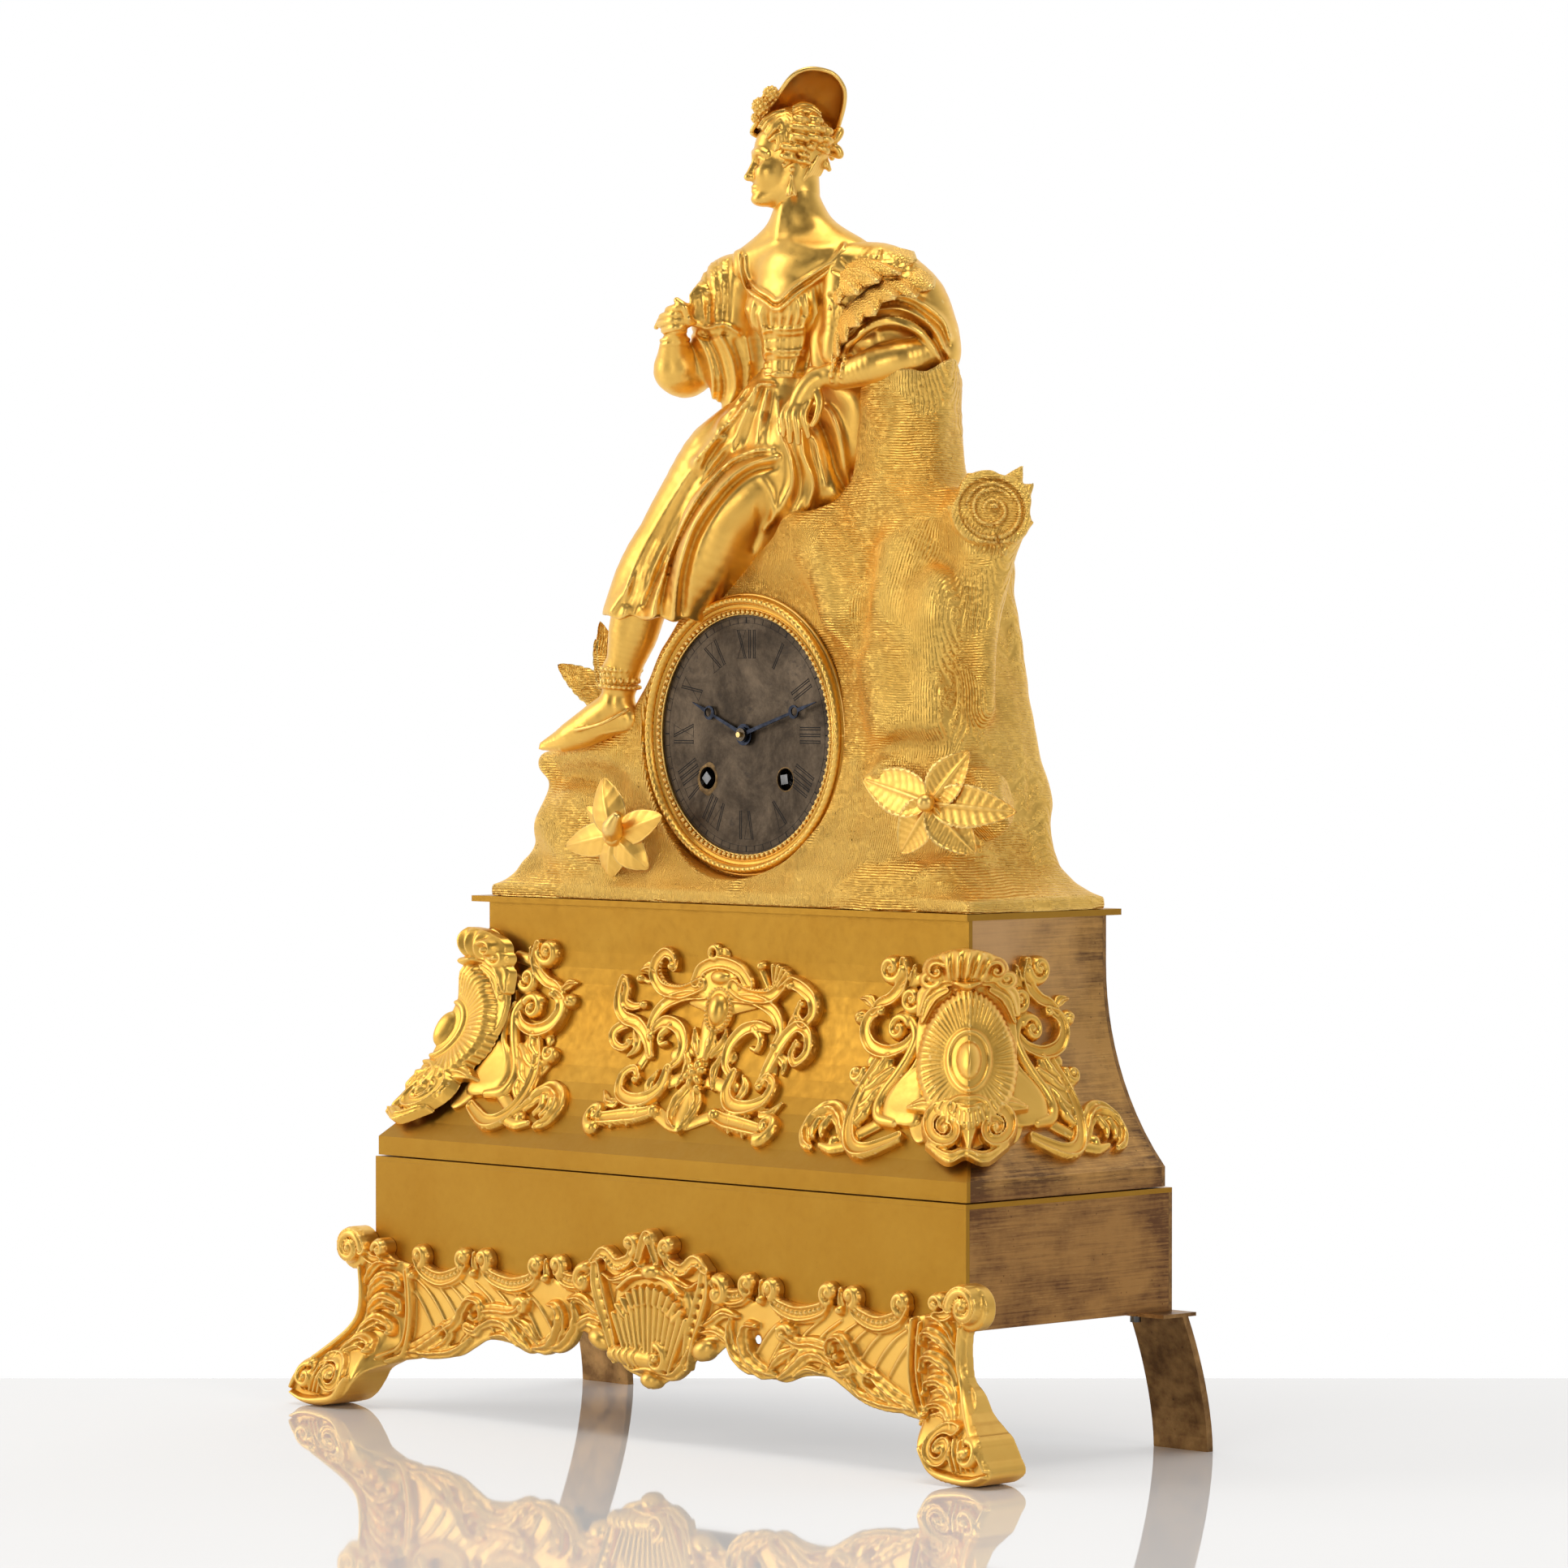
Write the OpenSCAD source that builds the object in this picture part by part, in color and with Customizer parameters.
// Mantel clock: seated figure on a rock with a drum movement, standing on a two-tier brass base.
// Millimetres. +Z up, front towards -Y, viewer's right +X. Floor at z = 0.

/* [Base] */
// width of the lower box
plinth_w = 312; // [300:1:325]
// depth of the lower box
plinth_d = 107; // [102:1:112]
// height of the lower box's underside above the floor
plinth_z = 51; // [48:0.5:54]
// height of the lower box
plinth_h = 44.4; // [42:0.2:47]
// sheet thickness of the boxes
sheet_t = 1.8; // [1.5:0.1:2.2]
// top edge of the upper box above the floor
pedestal_top = 192.4; // [190:0.2:195]
// half width of the upper box at the top
ped_hw = 126.6; // [124:0.2:129]
// front of the upper box at the top, before centring
ped_front = -21.4; // [-23:0.1:-20]
// back of the upper box, before centring
ped_back = 50.4; // [49:0.1:52]
// thickness of the brass plate under the rock
plate_t = 2.3; // [2:0.1:2.6]

/* [Dial and movement] */
// height of the dial centre above the floor
dial_z = 257.2; // [256:0.1:258.5]
// plane of the dial's face, before centring
dial_y = -8; // [-9:0.1:-7]
// radius of the dial plate
dial_r = 46; // [45.5:0.1:46.5]
// outer radius of the bezel
bezel_r = 52.2; // [51.5:0.1:53]
// radius of the movement plates
plate_r = 43.5; // [43:0.1:44]
// half distance between the two winding arbors
wind_x = 20.5; // [20.2:0.1:20.8]
// drop of the winding arbors below the dial centre
wind_drop = 16.3; // [16:0.1:16.6]
// hole radius in the dial round a winding arbor
wind_hole_r = 4.1; // [3.8:0.1:4.4]
// width across flats of the winding squares
square_af = 3.5; // [3.3:0.1:3.7]
// distance between the movement plates
plate_gap = 30; // [29:0.5:31]
// length from suspension to the centre of the bob
pendulum_l = 145; // [140:1:150]
// radius of the bob
bob_r = 17; // [15:0.5:19]
// radius of the bell's mouth
bell_r = 35; // [34:0.5:36]

/* [View] */
// sub-part to draw

/* [Hidden] */
$fn = 64;
y_shift = 3.7;                       // centres the whole in depth
gold = [0.86, 0.62, 0.20];
brass = [0.80, 0.66, 0.34];
steel = [0.35, 0.37, 0.42];
dark = [0.30, 0.27, 0.25];

pz1 = plinth_z + plinth_h;           // top of the lower box
lip_z0 = pz1 + 0.5;
lip_z1 = 103;
flare_z = 175;                       // where the upper box starts to flare
lip_hw = plinth_w/2 - 0.6;
lip_front = -plinth_d/2 + 1;
rock_z = pedestal_top + plate_t;     // underside of the rock
fp0 = -1;                            // front plate's front face
fp1 = fp0 + 2;
bp0 = fp1 + plate_gap;               // back plate's front face
bp1 = bp0 + 2;

module at0() translate([0, y_shift, 0]) children();
// a drawing in (x, z) raised along -y from y1 forward to y0
module front_draw(y0, y1) translate([0, y1, 0]) rotate([90, 0, 0]) linear_extrude(y1 - y0) children();
module disc(r, y0, y1, x = 0, z = 0) translate([x, y1, z]) rotate([90, 0, 0]) cylinder(r = r, h = y1 - y0);

// ---- flared profile of the upper box: distance out at height z
function arc_out(z, o, h, zt) = z >= zt ? 0 : let(R = (o*o + h*h)/(2*o)) R - sqrt(max(0, R*R - pow(zt - z, 2)));
function side_out(z) = z <= lip_z1 ? lip_hw - ped_hw : arc_out(z, lip_hw - ped_hw, flare_z - lip_z1, flare_z);
function front_out(z) = z <= lip_z1 ? ped_front - lip_front : arc_out(z, ped_front - lip_front, flare_z - lip_z1, flare_z);
flare_zs = concat([for (i = [0:12]) lip_z1 + i*(flare_z - lip_z1)/12], [pedestal_top]);
function side_curve(off) = concat([[ped_hw + side_out(lip_z0) + off, lip_z0]], [for (z = flare_zs) [ped_hw + side_out(z) + off, z]]);
function front_curve(off) = concat([[ped_front - front_out(lip_z0) - off, lip_z0]], [for (z = flare_zs) [ped_front - front_out(z) - off, z]]);
function rev(v) = [for (i = [len(v)-1:-1:0]) v[i]];
// the (x, z) outline between the two outer side faces, moved in by t
module xz_outline(t) polygon(concat(side_curve(-t), rev([for (p = side_curve(-t)) [-p[0], p[1]]])));
module yz_band(o0, o1) // upright band following the front, from offset o0 to o1
  rotate([90, 0, 90]) translate([0, 0, -200]) linear_extrude(400) polygon(concat(front_curve(o0), rev(front_curve(o1))));
module yz_fill(t, back) // everything behind the front face moved in by t
  rotate([90, 0, 90]) translate([0, 0, -200]) linear_extrude(400) polygon(concat(front_curve(-t), [[back, pedestal_top], [back, lip_z0]]));
module xz_band(o0, o1, s) // upright band following the side s = 1 right, -1 left
  rotate([90, 0, 0]) translate([0, 0, -80]) linear_extrude(160)
    polygon(concat([for (p = side_curve(o0)) [s*p[0], p[1]]], rev([for (p = side_curve(o1)) [s*p[0], p[1]]])));

// ---- gears: short straight-flanked teeth with backlash
function tooth_pts(n, m, ph) = [for (i = [0:n-1]) for (k = [0:3])
  let(a = ph + 360*i/n, p = 360/n, r = (k == 0 || k == 3) ? m*n/2 - 0.9*m : m*n/2 + 0.75*m, w = (k == 0 || k == 3) ? 0.27 : 0.12)
  [r*cos(a + (k < 2 ? -w : w)*p), r*sin(a + (k < 2 ? -w : w)*p)]];
module gear2(n, m, ph = 0) polygon(tooth_pts(n, m, ph));
// crossed-out wheel with a toothed rim
module wheel2(n, m, ph, hub, rim, arms) {
  ri = m*n/2 - rim;
  difference() { gear2(n, m, ph); circle(r = ri); }
  difference() { union() { circle(r = hub); for (i = [0:arms-1]) rotate(i*360/arms + 20) translate([0, -rim*0.35]) square([ri + 0.3, rim*0.7]); } }
}
function mesh(na, pa, nb, th) = th + 180 - (0.5 - (th - pa)*na/360)*360/nb;
function ang(a, b) = atan2(b[1] - a[1], b[0] - a[0]);

// arbor places relative to the dial centre (x, z)
O = [0, 0];
GB = [wind_x, -wind_drop];
SB = [-wind_x, -wind_drop];
I1 = let(d = norm(GB), a = (d*d + 14.175*14.175 - 19.2*19.2)/(2*d), h = sqrt(14.175*14.175 - a*a), g = GB/d) [g[0]*a - g[1]*h, g[1]*a + g[0]*h];
ES = [0, 21];
TH = let(d = 21, a = (d*d + 13.05*13.05 - 11.745*11.745)/(2*d), h = sqrt(13.05*13.05 - a*a)) [-h, a];
AN = [0, 33];
S2 = SB + 19.2*[cos(100), sin(100)];
S3 = S2 + 11.22*[cos(80), sin(80)];
S4 = S3 + 10.05*[cos(70), sin(70)];
MW = 12*[cos(45), sin(45)];
HM = [-31.5, 21];
ARB = [I1, TH, ES, AN, S2, S3, S4, HM];

module g_at(p, y0, y1) translate([p[0], y1, dial_z + p[1]]) rotate([90, 0, 0]) linear_extrude(y1 - y0) children();
module rod_at(p, r, y0, y1) disc(r, y0, y1, p[0], dial_z + p[1]);

// phases so every pair is in mesh at rest
ph_gb = 0;
ph_i1p = mesh(84, ph_gb, 12, ang(GB, I1));
ph_i1w = 0;
ph_cp = mesh(72, ph_i1w, 9, ang(I1, O));
ph_cw = 0;
ph_tp = mesh(80, ph_cw, 7, ang(O, TH));
ph_tw = 0;
ph_ep = mesh(80, ph_tw, 7, ang(TH, ES));
ph_sb = 0;
ph_s2p = mesh(84, ph_sb, 12, ang(SB, S2));
ph_s3p = mesh(60, 0, 8, ang(S2, S3));
ph_s4p = mesh(60, 0, 7, ang(S3, S4));
ph_can = 0;
ph_mw = mesh(12, ph_can, 36, ang(O, MW));
ph_mp = 0;
ph_hw = mesh(10, ph_mp, 40, ang(MW, O));

// ================= base =================
module apron_outline() polygon([
  [-171, 66], [-163, 69], [-156, 66], [-153, 58], [-146, 56], [-138, 60], [-128, 58], [-112, 61], [-104, 58], [-88, 61], [-78, 58],
  [-60, 61], [-50, 58], [-36, 60], [-26, 66], [-12, 70], [0, 75.6], [12, 70], [26, 66], [36, 60], [50, 58], [60, 61], [78, 58],
  [88, 61], [104, 58], [112, 61], [128, 58], [138, 60], [146, 56], [153, 58], [156, 66], [163, 69], [171, 66],
  [169, 56], [162, 50], [160, 40], [163, 30], [170, 21], [180, 13], [185, 7], [181, 3.5], [172, 4], [160, 6], [150, 11], [141, 17],
  [128, 21], [107, 22], [92, 28], [76, 26], [60, 30], [46, 38], [33, 32], [24, 25], [12, 22], [0, 18.8], [-12, 22], [-24, 25], [-33, 32],
  [-46, 38], [-60, 30], [-76, 26], [-92, 28], [-107, 22], [-128, 21], [-141, 17], [-150, 11], [-160, 6], [-172, 4], [-181, 3.5],
  [-185, 7], [-180, 13], [-170, 21], [-163, 30], [-160, 40], [-162, 50], [-169, 56]]);
module apron_front() color(gold) at0() {
  yb = -plinth_d/2 - 0.05;
  front_draw(yb - 4.2, yb) apron_outline();
  // centre cartouche, boss and drop
  front_draw(yb - 8, yb - 4.1) polygon([[-26, 62], [-18, 67], [0, 74], [18, 67], [26, 62], [22, 46], [14, 32], [6, 24], [-6, 24], [-14, 32], [-22, 46]]);
  translate([0, yb - 6.5, 21.5]) sphere(r = 3.2);
  for (s = [-1, 1]) {
    // scrolls along the top
    for (x = [44, 69, 95, 120]) { disc(4, yb - 6.6, yb - 4.1, s*x, 57); front_draw(yb - 5.8, yb - 4.1) translate([s*(x + 12), 52]) difference() { circle(r = 9, $fn = 40); circle(r = 7.4, $fn = 40); translate([-12, 0]) square([24, 12]); } }
    // foot: volute, leg and toe, thicker towards the floor
    disc(7, yb - 9, yb - 4.1, s*163.5, 60.5);
    front_draw(yb - 10, yb - 4.1) polygon([for (p = [[146, 52], [160, 54], [161, 40], [164, 30], [172, 20], [162, 10], [152, 14], [148, 30]]) [s*p[0], p[1]]]);
    front_draw(-73.2, -51.2 - 2.4) polygon([for (p = [[146, 19], [152, 28], [161, 30], [170, 21], [180, 13], [185.2, 7.5], [185, 4.5], [181, 1.2], [176, 0], [166, 0], [156, 4], [149, 10]]) [s*p[0], p[1]]]);
    front_draw(-53.7, -51.2) polygon([for (p = [[150, 16], [160, 24], [170, 19], [180, 12], [184, 7], [181, 1.5], [176, 0], [166, 0], [156, 4]]) [s*p[0], p[1]]]);
  }
}
module rear_foot(s) at0() {
  // flange under the corner
  translate([s*152 - 13, 39, plinth_z - 1.4]) cube([26, 17.5, 1.35]);
  // curved strap from the flange to the floor, leaning outward and back
  translate([s*152 - 13, 0, 0]) rotate([90, 0, 90]) linear_extrude(26)
    polygon(concat([for (i = [0:10]) let(z = i*(plinth_z - 1.35)/10) [62.6 - 14*pow(z/plinth_z, 1.7), z]],
      [for (i = [10:-1:0]) let(z = i*(plinth_z - 1.35)/10) [65.6 - 14*pow(z/plinth_z, 1.7), z]]));
}
module rear_foot_left() color(brass) rear_foot(-1);
module rear_foot_right() color(brass) rear_foot(1);
module foot_screws() color(steel) at0() for (s = [-1, 1]) {
  translate([s*147, 44, plinth_z - 4]) cylinder(r = 2, h = 2.55, $fn = 24);
  translate([s*147, 44, plinth_z + 1.85]) cylinder(r = 2.2, h = 3, $fn = 24);
  translate([s*147, 44, plinth_z + 4.9]) cylinder(r = 3.4, h = 2, $fn = 24);
}
module plinth_front() color(gold) at0() translate([-plinth_w/2, -plinth_d/2, plinth_z]) cube([plinth_w, sheet_t, plinth_h - sheet_t]);
module plinth_side(s) at0() translate([s > 0 ? plinth_w/2 - sheet_t : -plinth_w/2, -plinth_d/2 + sheet_t + 0.05, plinth_z]) cube([sheet_t, plinth_d - 2*sheet_t - 0.1, plinth_h - sheet_t]);
module plinth_side_left() color(gold) plinth_side(-1);
module plinth_side_right() color(gold) plinth_side(1);
module plinth_back() color(brass) at0() difference() {
  union() {
    translate([-plinth_w/2, plinth_d/2 - sheet_t, plinth_z]) cube([plinth_w, sheet_t, plinth_h - sheet_t]);
    // inward ears carrying the rear feet
    for (s = [-1, 1]) translate([s > 0 ? plinth_w/2 - sheet_t - 14.3 : -plinth_w/2 + sheet_t + 0.3, plinth_d/2 - sheet_t - 16, plinth_z]) cube([14, 16.1, 1.8]);
  }
  for (s = [-1, 1]) translate([s*147, 44, plinth_z - 1]) cylinder(r = 2.5, h = 4, $fn = 24);
}
module plinth_top_frame() color(gold) at0() translate([0, 0, pz1 - sheet_t + 0.02]) difference() {
  translate([-plinth_w/2, -plinth_d/2, 0]) cube([plinth_w, plinth_d, sheet_t - 0.02]);
  translate([-138, -40, -1]) cube([276, 80, 5]);
}

module pedestal_front() color(gold) at0() intersection() {
  yz_band(0, -sheet_t);
  rotate([90, 0, 0]) translate([0, 0, -100]) linear_extrude(200) xz_outline(0);
}
module pedestal_side(s) at0() intersection() {
  xz_band(0, -sheet_t, s);
  yz_fill(sheet_t + 0.05, ped_back - sheet_t - 0.05);
}
module pedestal_side_left() color(gold) pedestal_side(-1);
module pedestal_side_right() color(gold) pedestal_side(1);
module pedestal_back() color(brass) at0() translate([0, ped_back, 0]) rotate([90, 0, 0]) linear_extrude(sheet_t) xz_outline(0);
module top_plate() color(brass) at0() difference() {
  translate([-ped_hw - 8.6, ped_front - 1.5, pedestal_top + 0.02]) cube([2*ped_hw + 9.2, ped_back - ped_front + 9, plate_t - 0.04]);
  translate([-26, 33, pedestal_top - 1]) cube([52, 15.5, 6]);
}

// ================= mounts on the upper box =================
module arc2(r, w, a0, a1) intersection() {
  difference() { circle(r = r + w/2, $fn = 48); circle(r = r - w/2, $fn = 48); }
  polygon(concat([[0, 0]], [for (i = [0:8]) (r + w)*1.3*[cos(a0 + i*(a1 - a0)/8), sin(a0 + i*(a1 - a0)/8)]]));
}
module centre_outline() {
  difference() { translate([0, 150]) circle(r = 12, $fn = 48); }
  translate([0, 175.5]) circle(r = 3.6, $fn = 24);
  translate([-5, 160]) square([10, 14]);
  for (s = [-1, 1]) scale([1, 1]) {
    translate([s*22, 163]) arc2(11, 5, 20, 180);
    translate([s*34, 165]) circle(r = 5.2, $fn = 32);
    translate([s*33, 150]) arc2(13, 5.5, -90, 90);
    translate([s*45.5, 150]) circle(r = 5, $fn = 32);
    translate([s*20, 137]) arc2(13, 5, s > 0 ? 200 : -20, s > 0 ? 360 : 140);
    translate([s*32, 128]) circle(r = 6.5, $fn = 32);
    translate([s*18, 121]) arc2(12, 5, 0, 180);
    translate([s*30, 116]) circle(r = 6, $fn = 32);
  }
  for (s = [-1, 1]) translate([s*42, 115]) circle(r = 5.5, $fn = 32);
  translate([-5, 112]) square([10, 30]);
  translate([-30, 134]) square([60, 5]);
  translate([-20, 155]) square([40, 5]);
}
module centre_mount() color(gold) at0() intersection() {
  yz_band(0.05, 4.6);
  front_draw(-80, 0) centre_outline();
}
// wing drawn to the left of the corner; u = distance from the corner
module wing_outline() {
  translate([20, 150]) circle(r = 21, $fn = 48);
  translate([4, 108]) square([26, 66]);
  translate([4, 166]) square([20, 17]);
  translate([38, 168]) circle(r = 6.5, $fn = 32);
  translate([36, 146]) square([6, 22]);
  translate([42, 148]) circle(r = 9, $fn = 32);
  translate([38, 126]) arc2(13, 5, 60, 270);
  translate([36, 116]) circle(r = 8, $fn = 32);
  translate([44, 112]) square([20, 6]);
  translate([50, 136]) circle(r = 5, $fn = 32);
  translate([46, 118]) square([6, 18]);
  translate([66, 117]) circle(r = 6, $fn = 32);
  translate([20, 114]) circle(r = 9, $fn = 32);
}
module corner_mount(s) at0() {
  // front wing
  intersection() { yz_band(0.05, 4.4); front_draw(-80, 0) translate([s*134, 0]) mirror([s > 0 ? 1 : 0, 0]) wing_outline();
    rotate([90, 0, 0]) translate([0, 0, -100]) linear_extrude(200) xz_outline(0); }
  // side wing
  intersection() { xz_band(0.05, 4.4, s); rotate([90, 0, 90]) translate([0, 0, -200]) linear_extrude(400) translate([-30, 0]) wing_outline();
    yz_fill(-4.4, 60); }
  // shell cartouche standing across the corner
  translate([s*123.5, -18.5, 149]) rotate([0, 0, s*45]) rotate([90, 0, 0]) { cylinder(r1 = 19, r2 = 16, h = 12.5); translate([0, 0, 10]) cylinder(r = 7.5, h = 4.5); }
}
module corner_mount_cut(s) difference() {
  corner_mount(s);
  // keep clear of the box behind
  at0() intersection() { yz_fill(-0.05, 120); rotate([90, 0, 0]) translate([0, 0, -150]) linear_extrude(300) xz_outline(-0.05); }
}
module corner_mount_left() color(gold) corner_mount_cut(-1);
module corner_mount_right() color(gold) corner_mount_cut(1);

// ================= rock, flowers =================
module ball(p, r) translate(p) sphere(r = r, $fn = 30);
module rock_solid() {
    translate([-ped_hw + 0.2, ped_front + 0.4, rock_z]) cube([2*ped_hw - 0.4, ped_back - ped_front - 0.6, 4.2]);
    hull() { translate([-ped_hw + 4, ped_front + 4, rock_z + 4]) cube([2*ped_hw - 8, ped_back - ped_front - 8, 1]);
             translate([-112, -10, 212]) cube([222, 54, 2]); }
    // broad lower mass
    hull() { translate([-112, -8, 210]) cube([222, 52, 1]); ball([-98, 6, 238], 12); ball([-70, 4, 238], 12); ball([98, 2, 244], 12); ball([98, 30, 244], 14); ball([-96, 30, 236], 12); }
    // rise behind the dial
    hull() { translate([-64, -7.5, 236]) cube([160, 52, 1]); ball([4, 8, 318], 15); ball([86, 10, 300], 20); ball([88, 24, 296], 20); ball([-58, 14, 270], 12); ball([30, 30, 322], 14); }
    // shoulder below the trunk
    hull() { ball([82, 14, 300], 22); ball([60, 20, 332], 20); ball([36, 18, 326], 14); ball([90, 20, 326], 16); }
    // trunk
    translate([57, 20, 326]) cylinder(r1 = 22, r2 = 18.3, h = 58, $fn = 48);
    // sawn branch
    translate([72, 20, 322]) rotate([0, 62, -14]) cylinder(r = 13.5, h = 38, $fn = 40);
}
module rock_mound() color(gold) at0() difference() {
  rock_solid();
  // bore for the movement, seat for the bezel and channel for the pendulum
  disc(47.2, -60, 80, 0, dial_z);
  disc(54.5, -60, -7.5, 0, dial_z);
  translate([-26, 33, 180]) cube([52, 30, 60]);
  // slanted cut on top of the trunk
  translate([30, -10, 386]) rotate([0, -6, 0]) cube([70, 60, 20]);
}
module flower(n, l, w, c) {
  for (i = [0:n-1]) rotate(i*360/n + 18) { translate([l*0.58, 0]) circle(r = w, $fn = 32); translate([0, -w*0.6]) square([l*0.6, w*1.2]); translate([l*0.9, 0]) circle(r = w*0.55, $fn = 24); }
  circle(r = c, $fn = 32);
}
module flower_left() color(gold) at0() { front_draw(-22, -19) translate([-60, 221.5]) flower(5, 20, 6.5, 7); disc(3, -26, -21.9, -60, 221.5); disc(2.4, -19.05, -12, -60, 221.5); }
module flower_right() color(gold) at0() { front_draw(-21, -18) translate([105, 234.5]) flower(5, 24, 6.5, 7); disc(3.2, -25, -20.9, 105, 234.5); disc(2.4, -18.05, -12, 105, 234.5); }

// ================= figure =================
module figure_skirt() color(gold) at0() difference() {
  union() {
    hull() { ball([2, 8, 372], 17); ball([16, 9, 372], 17); ball([-6, -6, 348], 17); ball([22, 14, 354], 14); }
    hull() { ball([-6, -8, 346], 18); ball([-30, -10, 326], 13); ball([-2, -10, 336], 16); }
    hull() { ball([-18, -9, 336], 15); ball([-62, -11, 307], 7); ball([-38, -11, 306], 8); ball([-8, -10, 328], 13); }
    hull() { ball([-4, 4, 376], 12); ball([10, 3, 386], 10.5); ball([16, 8, 372], 14); }
  }
  // seat surface
  rock_solid();
  translate([57, 20, 326]) cylinder(r1 = 22.4, r2 = 18.7, h = 62, $fn = 48);
  translate([-100, -60, 380]) rotate([0, 0, 0]) translate([0, 0, 13]) cube([200, 120, 60]);
  translate([-100, -60, 280]) cube([160, 120, 20]);
}
module figure_bodice() color(gold) at0() difference() {
  union() {
    hull() { ball([9, 3, 400], 11.5); ball([11, 3, 402], 11.5); ball([8, -2, 414], 12); ball([14, 1, 414], 12); }
    hull() { ball([9, 0, 414], 12); ball([-10, 4, 424], 9); ball([32, 8, 424], 9); }
    translate([10, 5, 424]) cylinder(r1 = 10, r2 = 6.6, h = 15);
  }
  translate([-100, -60, 353.2]) cube([200, 120, 40]);
}
module figure_head() color(gold) at0() {
  translate([10, 5, 439.1]) cylinder(r = 6.4, h = 16);
  translate([6, 2, 466]) sphere(r = 13);
  translate([14, 7, 473]) sphere(r = 13.5);
}
module figure_hat() color(gold) at0() difference() {
  union() { hull() { ball([22, 8, 492], 9.8); ball([14, 6, 488], 11); ball([30, 12, 478], 8); } ball([-1, 2, 489], 5.5); }
  translate([14, 7, 473]) sphere(r = 13.6);
  translate([6, 2, 466]) sphere(r = 13.1);
}
module limb(a, b, ra, rb) hull() { ball(a, ra); ball(b, rb); }
module figure_arm_right() color(gold) at0() difference() {
  union() { hull() { ball([-20, 4, 424], 11); ball([-26, 4, 404], 13); ball([-14, 8, 396], 9); } limb([-30, 0, 392], [-38, -9, 402], 6.5, 4.5); ball([-36, -11, 411], 6.5); limb([-30, 2, 394], [-26, 5, 384], 7, 5); }
  hull() { ball([9, 0, 414], 12.1); ball([-10, 4, 424], 9.1); ball([32, 8, 424], 9.1); }
  hull() { ball([9, 3, 400], 11.6); ball([11, 3, 402], 11.6); ball([8, -2, 414], 12.1); ball([14, 1, 414], 12.1); }
}
module figure_arm_left() color(gold) at0() difference() {
  union() { hull() { ball([42, 10, 424], 11); ball([62, 17, 410], 15); ball([64, 18, 402], 12); } limb([62, 12, 396], [38, -3, 392], 7, 4.6); limb([36, -4, 388], [33, -10, 372], 5, 3.4); }
  hull() { ball([9, 0, 414], 12.1); ball([-10, 4, 424], 9.1); ball([32, 8, 424], 9.1); }
  translate([57, 20, 320]) cylinder(r1 = 30, r2 = 30, h = 66, $fn = 48);
}
module figure_leg() color(gold) at0() difference() {
  union() { limb([-53, -11, 299], [-62, -11, 276], 8.5, 6.2); limb([-62, -11, 274], [-66, -11, 264], 6.6, 5.5); limb([-66, -10, 262], [-96, -17, 253.5], 5.6, 2.4); }
  translate([-100, -60, 299.95]) cube([200, 120, 60]);
}

// ================= dial =================
module bezel_ring() color(gold) at0() translate([0, 0, dial_z]) rotate([90, 0, 0]) rotate_extrude($fn = 96)
  polygon([[46.3, 7.55], [bezel_r - 0.2, 7.55], [bezel_r, 8.2], [bezel_r - 0.4, 10.4], [bezel_r - 1.6, 12], [49.6, 12.2], [48.6, 11], [47.4, 10.2], [46.3, 10]]);
module bead_ring() color(gold) at0() translate([0, 0, dial_z]) rotate([90, 0, 0]) rotate_extrude($fn = 96)
  polygon([[44.2, 8.05], [46.25, 8.05], [46.25, 10], [45.6, 10.4], [44.9, 10.3], [44.2, 9.2]]);
module dial() color(dark) at0() difference() {
  disc(dial_r, dial_y, dial_y + 1, 0, dial_z);
  disc(2.6, dial_y - 1, dial_y + 2, 0, dial_z);
  for (s = [-1, 1]) disc(wind_hole_r, dial_y - 1, dial_y + 2, s*wind_x, dial_z - wind_drop);
}
module hand2(l, ring_r, ring_at) {
  translate([0, 0]) square([0.01, 0.01]);
  polygon([[2.2, -0.75], [ring_at - ring_r + 0.3, -0.5], [ring_at - ring_r + 0.3, 0.5], [2.2, 0.75]]);
  translate([ring_at, 0]) difference() { circle(r = ring_r, $fn = 32); translate([0.5, 0]) circle(r = ring_r - 0.9, $fn = 32); }
  polygon([[ring_at + ring_r - 0.3, -0.8], [l, -0.12], [l, 0.12], [ring_at + ring_r - 0.3, 0.8]]);
}
hour_a = 156.5;   // hour hand's angle, counter-clockwise from +x
min_a = 17.6;
module hour_hand() color(steel) at0() g_at(O, -9.5, -8.9) difference() { union() { circle(r = 4, $fn = 40); rotate(hour_a) hand2(29.6, 2.6, 20); } circle(r = 2.35, $fn = 32); }
module minute_hand() color(steel) at0() g_at(O, -10.5, -9.9) difference() { union() { circle(r = 2.8, $fn = 40); rotate(min_a) hand2(40.5, 2.5, 28.4); } circle(r = 1.3, $fn = 32); }
module hand_collet() color(brass) at0() difference() { rod_at(O, 2.4, -11.2, -10.55); rod_at(O, 1.05, -12, -10); }

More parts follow.
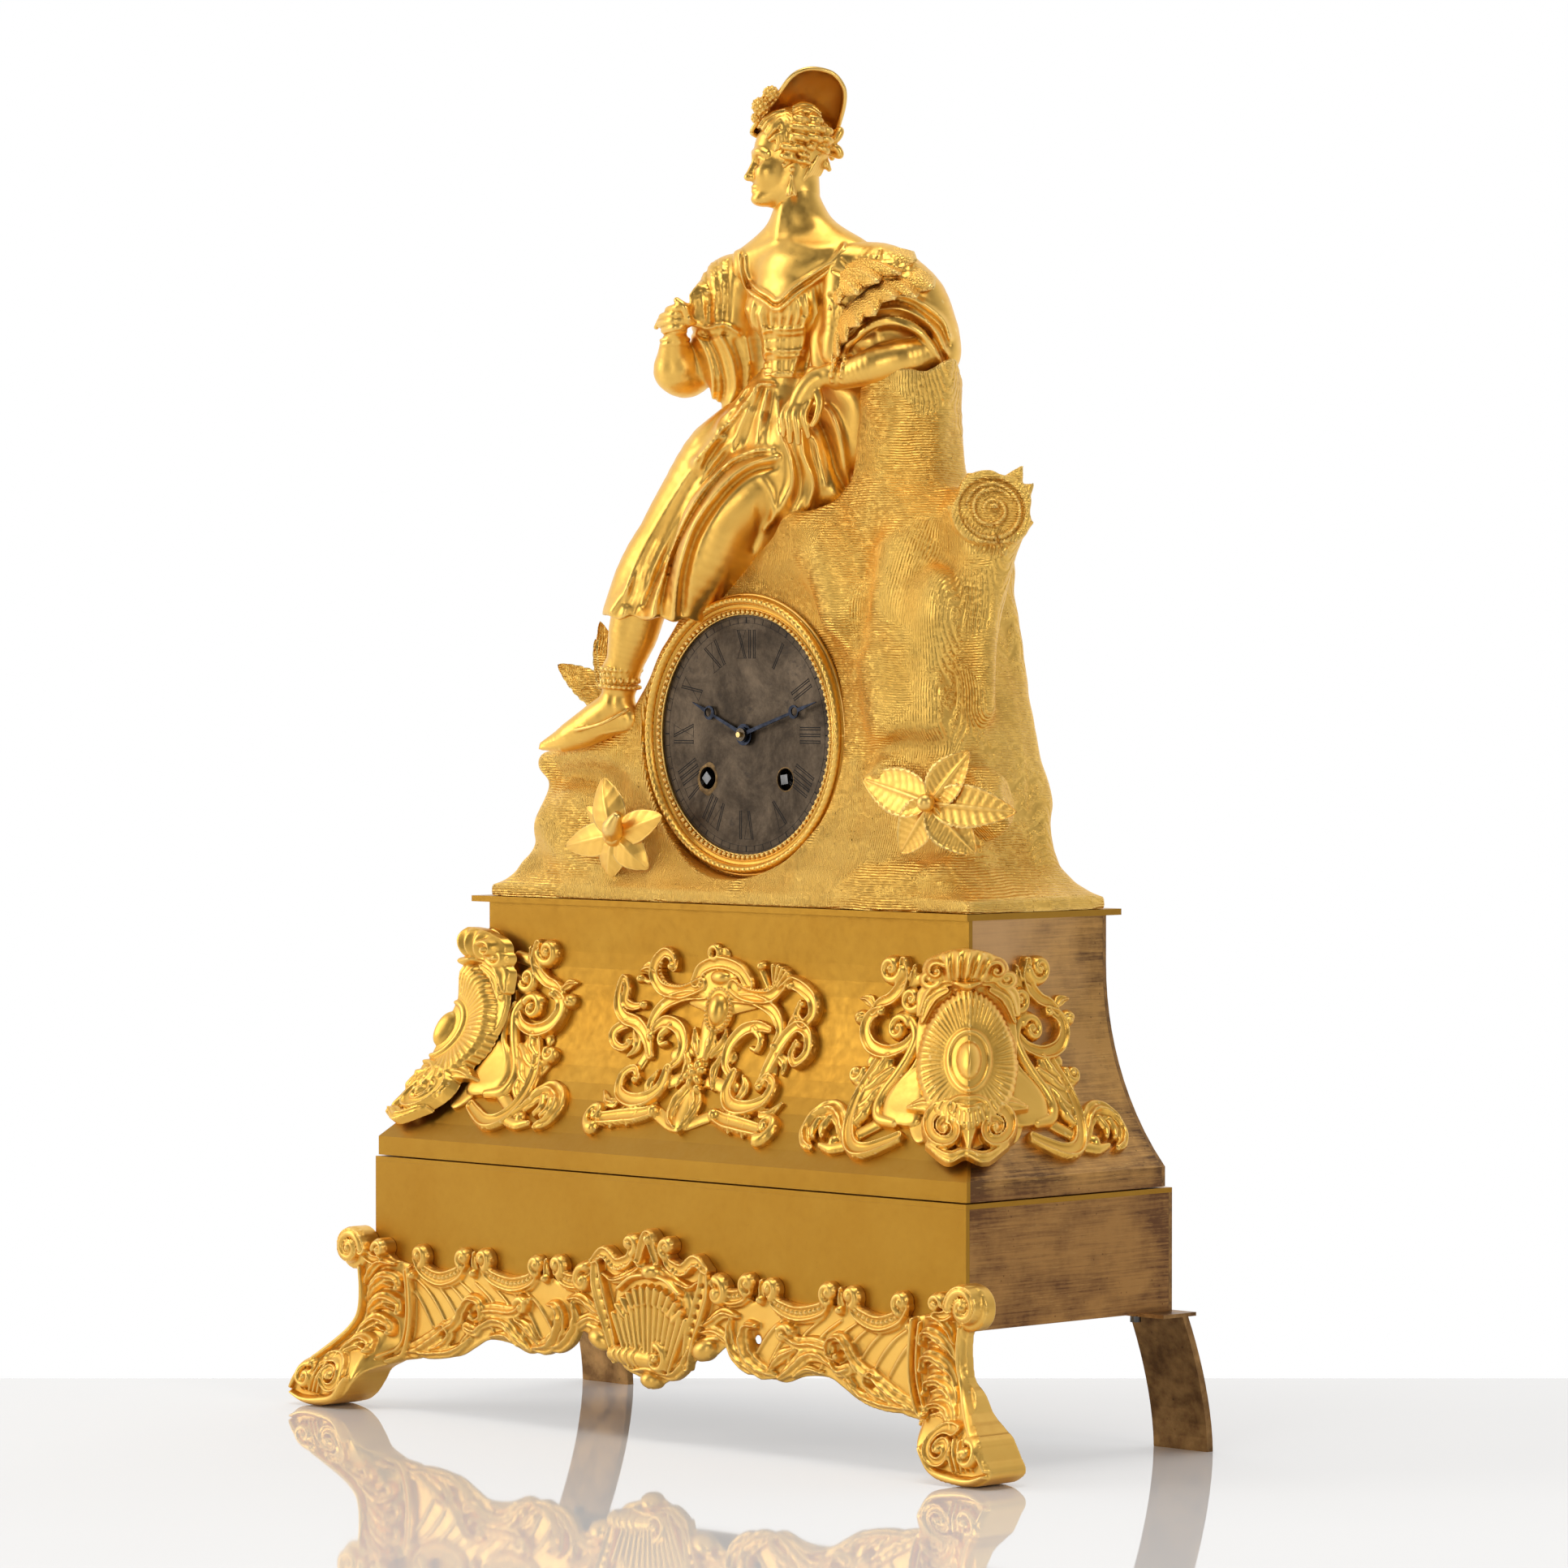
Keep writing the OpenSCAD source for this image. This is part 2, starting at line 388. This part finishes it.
// ================= movement =================
module pivots(r, y0, y1) for (p = ARB) g_at(p, y0, y1) circle(r = r, $fn = 24);
module front_plate() color(brass) at0() difference() {
  rod_at(O, plate_r, fp0, fp1);
  for (p = [I1, TH, ES, AN, S2, S3, S4, HM, MW]) rod_at(p, p == MW ? 0.85 : 0.56, fp0 - 1, fp1 + 1);
  rod_at(O, 1.35, fp0 - 1, fp1 + 1);
  for (p = [GB, SB]) rod_at(p, 2.85, fp0 - 1, fp1 + 1);
}
module back_plate() color(brass) at0() difference() {
  rod_at(O, plate_r, bp0, bp1);
  for (p = [I1, TH, ES, S3, S4]) rod_at(p, 0.56, bp0 - 1, bp1 + 1);
  rod_at(O, 1.06, bp0 - 1, bp1 + 1);
  rod_at(S2, 0.96, bp0 - 1, bp1 + 1);
  rod_at(AN, 0.96, bp0 - 1, bp1 + 1);
  rod_at(HM, 0.96, bp0 - 1, bp1 + 1);
  for (p = [GB, SB]) rod_at(p, 2.05, bp0 - 1, bp1 + 1);
}
PIL = [39*[cos(28), sin(28)], 39*[cos(152), sin(152)], 39*[cos(270), sin(270)], 39*[cos(62), sin(62)]];
module pillars() color(brass) at0() for (p = PIL) { rod_at(p, 2.6, fp1 + 0.02, bp0 - 0.02); }
module movement_straps() color(brass) at0() for (s = [-1, 1]) {
  translate([s*45.4 - 0.6, -6.9, dial_z - 4]) cube([1.2, 41.5, 8]);
  translate([s > 0 ? 38 : -46, bp1 + 0.05, dial_z - 4]) cube([8, 1.5, 8]);
  rod_at([s*40.5, 0], 2.2, bp1 + 1.5, bp1 + 3);
}
module barrel(p, ph) {
  difference() { union() { g_at(p, 8, 9.6) gear2(84, 0.4, ph); rod_at(p, 15.6, 9.5, 27.5); } rod_at(p, 14.4, 10.8, 26.3); rod_at(p, 2.25, 7, 29); }
}
module winder(p, a) {
  rod_at(p, 2.2, 7.2, 28.4);
  difference() { rod_at(p, 5.5, 11, 26); rod_at(p, 2.1, 10, 27); }
  rod_at(p, 2.8, -2.6, 7.3);
  rod_at(p, 2.0, 28.3, bp1);
  g_at(p, -8.6, -2.5) rotate(a) square([square_af, square_af], center = true);
}
module going_barrel() color(brass) at0() barrel(GB, ph_gb);
module strike_barrel() color(brass) at0() barrel(SB, ph_sb);
module going_winding_arbor() color(steel) at0() winder(GB, 8);
module strike_winding_arbor() color(steel) at0() winder(SB, 45);
module pinned(p, r0, rb, y0) { rod_at(p, r0, fp1 + 0.3, bp0 - 0.3); rod_at(p, 0.5, fp0, fp1 + 0.4); }
module going_intermediate_wheel() color(brass) at0() { rod_at(I1, 0.9, fp1 + 0.3, bp0 - 0.3); rod_at(I1, 0.5, fp0, fp1 + 0.4); rod_at(I1, 0.5, bp0 - 0.4, bp1);
  g_at(I1, 7.2, 10.4) gear2(12, 0.4, ph_i1p); g_at(I1, 4, 5.2) wheel2(72, 0.35, ph_i1w, 2.4, 1.7, 5); }
module centre_wheel() color(brass) at0() { rod_at(O, 1.0, -12.4, bp1);
  g_at(O, 3.2, 6) gear2(9, 0.35, ph_cp); g_at(O, 6.1, 7.1) wheel2(80, 0.3, ph_cw, 2.4, 1.5, 5); rod_at(O, 1.7, 5.9, 6.2); }
module third_wheel() color(brass) at0() { rod_at(TH, 0.55, fp1 + 0.3, bp0 - 0.3); rod_at(TH, 0.5, fp0, fp1 + 0.4); rod_at(TH, 0.5, bp0 - 0.4, bp1);
  g_at(TH, 5.4, 7.8) gear2(7, 0.3, ph_tp); g_at(TH, 21, 22) wheel2(80, 0.27, ph_tw, 1.9, 1.4, 4); }
module escape2() { for (i = [0:35]) rotate(i*10) polygon([[7.4, -0.65], [9.1, -0.1], [9.1, 0.1], [7.4, 0.35]]); difference() { circle(r = 7.7, $fn = 48); circle(r = 6.2, $fn = 48); }
  circle(r = 1.7, $fn = 24); for (i = [0:3]) rotate(90*i + 12) translate([0, -0.5]) square([6.5, 1]); }
module escape_wheel() color(brass) at0() { rod_at(ES, 0.5, fp0, bp1);
  g_at(ES, 20, 23.2) gear2(7, 0.27, ph_ep); g_at(ES, 25, 26) escape2(); }
module anchor_crutch() color(steel) at0() {
  rod_at(AN, 0.9, fp1 + 0.3, 37.6); rod_at(AN, 0.5, fp0, fp1 + 0.4);
  g_at(AN, 24.8, 26.2) difference() { union() { circle(r = 2.2, $fn = 24); for (s = [-1, 1]) polygon([[s*0.5, 1.8], [s*7.6, -3], [s*9.9, -7.1], [s*9.3, -7.5], [s*6.9, -3.8], [s*0.2, -1.4]]); } }
  // crutch: thin bar with a fork round the pendulum rod
  g_at(AN, 36, 37.2) { circle(r = 2.4, $fn = 24); translate([-1, -52]) square([2, 52]); }
  g_at(AN, 37.1, 42.5) for (s = [-1, 1]) translate([s*2.65 - 0.5, -52]) square([1, 4]);
  g_at(AN, 36, 37.2) translate([-3.15, -52]) square([6.3, 4]);
}
module suspension_cock() color(brass) at0() difference() {
  union() { g_at(AN, bp1 + 0.03, 35.5) translate([-9, 4.6]) square([18, 5.2]);
    g_at(AN, 35.4, 42.5) translate([-3, 5.2]) square([6, 4.4]);
    // loop of silk thread over its post
    for (s = [-1, 1]) translate([s*1.6, 40, dial_z + AN[1] + 1.0]) cylinder(r = 0.35, h = 4.4, $fn = 16); }
}
module pendulum_rod() color(brass) at0() {
  zt = dial_z + AN[1];
  translate([0, 40, zt - pendulum_l - bob_r - 7]) cylinder(r = 1.5, h = pendulum_l + bob_r + 4.5, $fn = 24);
  for (s = [-1, 1]) translate([s*1.6, 40, zt - 3.2]) cylinder(r = 0.35, h = 3.9, $fn = 16);
  translate([-2.6, 39, zt - 5]) cube([5.2, 2, 2.4]);
}
module pendulum_bob() color(brass) at0() {
  zb = dial_z + AN[1] - pendulum_l;
  difference() { translate([0, 40, zb]) rotate([90, 0, 0]) rotate_extrude($fn = 72) polygon([[0, -3.9], [bob_r*0.45, -3.4], [bob_r*0.75, -2.4], [bob_r*0.94, -1.1], [bob_r, -0.4], [bob_r, 0.4], [bob_r*0.94, 1.1], [bob_r*0.75, 2.4], [bob_r*0.45, 3.4], [0, 3.9]]);
    translate([0, 40, zb - 30]) cylinder(r = 1.56, h = 60, $fn = 24); }
  difference() { translate([0, 40, zb - bob_r - 4]) cylinder(r = 3.4, h = 2.4, $fn = 32); translate([0, 40, zb - bob_r - 6]) cylinder(r = 1.56, h = 8, $fn = 24); }
}
module cannon_pinion() color(steel) at0() difference() { union() { g_at(O, -3.4, -1.8) gear2(12, 0.5, ph_can); rod_at(O, 1.6, -9.85, -3.3); rod_at(O, 2.2, -1.85, -1.3); } rod_at(O, 1.05, -12, 0); }
module minute_wheel() color(brass) at0() difference() { union() { g_at(MW, -3, -2.2) gear2(36, 0.5, ph_mw); g_at(MW, -5.8, -2.9) gear2(10, 0.48, ph_mp); rod_at(MW, 0.8, -6.2, fp1); } }
module hour_wheel() color(brass) at0() difference() { union() { g_at(O, -5.6, -4.8) gear2(40, 0.48, ph_hw); rod_at(O, 2.3, -9.6, -4.9); } rod_at(O, 1.66, -12, -4); }
module strike_second_wheel() color(brass) at0() { rod_at(S2, 0.9, fp1 + 0.3, 35.4); rod_at(S2, 0.5, fp0, fp1 + 0.4);
  g_at(S2, 7.2, 10.4) gear2(12, 0.4, ph_s2p); g_at(S2, 4, 5.2) wheel2(60, 0.33, 0, 2.2, 1.6, 5);
  // notched count plate outside the back plate
  g_at(S2, 33.6, 34.8) difference() { circle(r = 11.5, $fn = 64); for (a = [0, 11, 30, 55, 85, 120, 158, 200, 250, 302, 335]) rotate(a) translate([11.6, 0]) circle(r = 1.3, $fn = 20); } }
module pin_wheel() color(brass) at0() { rod_at(S3, 0.7, fp1 + 0.3, bp0 - 0.3); rod_at(S3, 0.5, fp0, fp1 + 0.4); rod_at(S3, 0.5, bp0 - 0.4, bp1);
  g_at(S3, 3.2, 6) gear2(8, 0.33, ph_s3p); g_at(S3, 16.5, 17.5) wheel2(60, 0.3, 0, 1.9, 1.5, 4);
  for (i = [0:7]) rod_at(S3 + 7.9*[cos(45*i), sin(45*i)], 0.4, 17.4, 19.5); }
module strike_fly() color(brass) at0() { rod_at(S4, 0.5, fp0, bp1); g_at(S4, 15.4, 18.6) gear2(7, 0.3, ph_s4p);
  g_at(S4, 6, 14) translate([-7, -0.4]) square([14, 0.8]); g_at(S4, 6, 14) circle(r = 1.3, $fn = 24); }
module hammer() color(steel) at0() {
  hd = 41*[cos(118), sin(118)];
  rod_at(HM, 0.9, fp1 + 0.3, 55); rod_at(HM, 0.5, fp0, fp1 + 0.4);
  translate([HM[0], 54, dial_z + HM[1]]) rotate([90, 0, 0]) linear_extrude(1.6) { rotate(ang(HM, hd)) translate([0, -0.9]) square([norm(hd - HM), 1.8]); circle(r = 2.2, $fn = 24); }
  rod_at(hd, 3.8, 51.5, 57.5);
}
module bell() color(steel) at0() translate([0, 0, dial_z]) rotate([-90, 0, 0]) rotate_extrude($fn = 96)
  polygon([[bell_r, 48], [bell_r, 49.4], [34, 54], [31, 58.5], [26, 61.6], [18, 63.6], [8, 64.4], [3.2, 64.5], [3.2, 63], [8, 62.9], [17.6, 62.1], [25, 60.2], [29.6, 57.4], [32.4, 53.2], [33.4, 49.4], [33.6, 48]]);
module bell_stand() color(steel) at0() {
  rod_at([-33, -14], 2.4, bp1 + 0.03, 45.6);
  rod_at([-33, -14], 3.4, bp1 + 0.03, 35);
  translate([-33, 47, dial_z - 14]) rotate([90, 0, 0]) linear_extrude(1.6) { rotate(atan2(14, 33)) translate([-2, -2.2]) square([norm([33, 14]) + 4, 4.4]); translate([33, 14]) circle(r = 4, $fn = 32); circle(r = 4, $fn = 32); }
  rod_at(O, 3.1, 46.9, 65.4);
  rod_at(O, 4.6, 64.55, 66.2);
  rod_at(O, 4.6, 61, 62.9);
}

apron_front();
rear_foot_left();
rear_foot_right();
foot_screws();
plinth_front();
plinth_side_left();
plinth_side_right();
plinth_back();
plinth_top_frame();
pedestal_front();
pedestal_side_left();
pedestal_side_right();
pedestal_back();
top_plate();
corner_mount_left();
corner_mount_right();
centre_mount();
rock_mound();
flower_left();
flower_right();
figure_skirt();
figure_bodice();
figure_head();
figure_hat();
figure_arm_right();
figure_arm_left();
figure_leg();
bezel_ring();
bead_ring();
dial();
hour_hand();
minute_hand();
hand_collet();
front_plate();
back_plate();
pillars();
movement_straps();
going_barrel();
going_winding_arbor();
strike_barrel();
strike_winding_arbor();
going_intermediate_wheel();
centre_wheel();
third_wheel();
escape_wheel();
anchor_crutch();
suspension_cock();
pendulum_rod();
pendulum_bob();
cannon_pinion();
minute_wheel();
hour_wheel();
strike_second_wheel();
pin_wheel();
strike_fly();
hammer();
bell();
bell_stand();
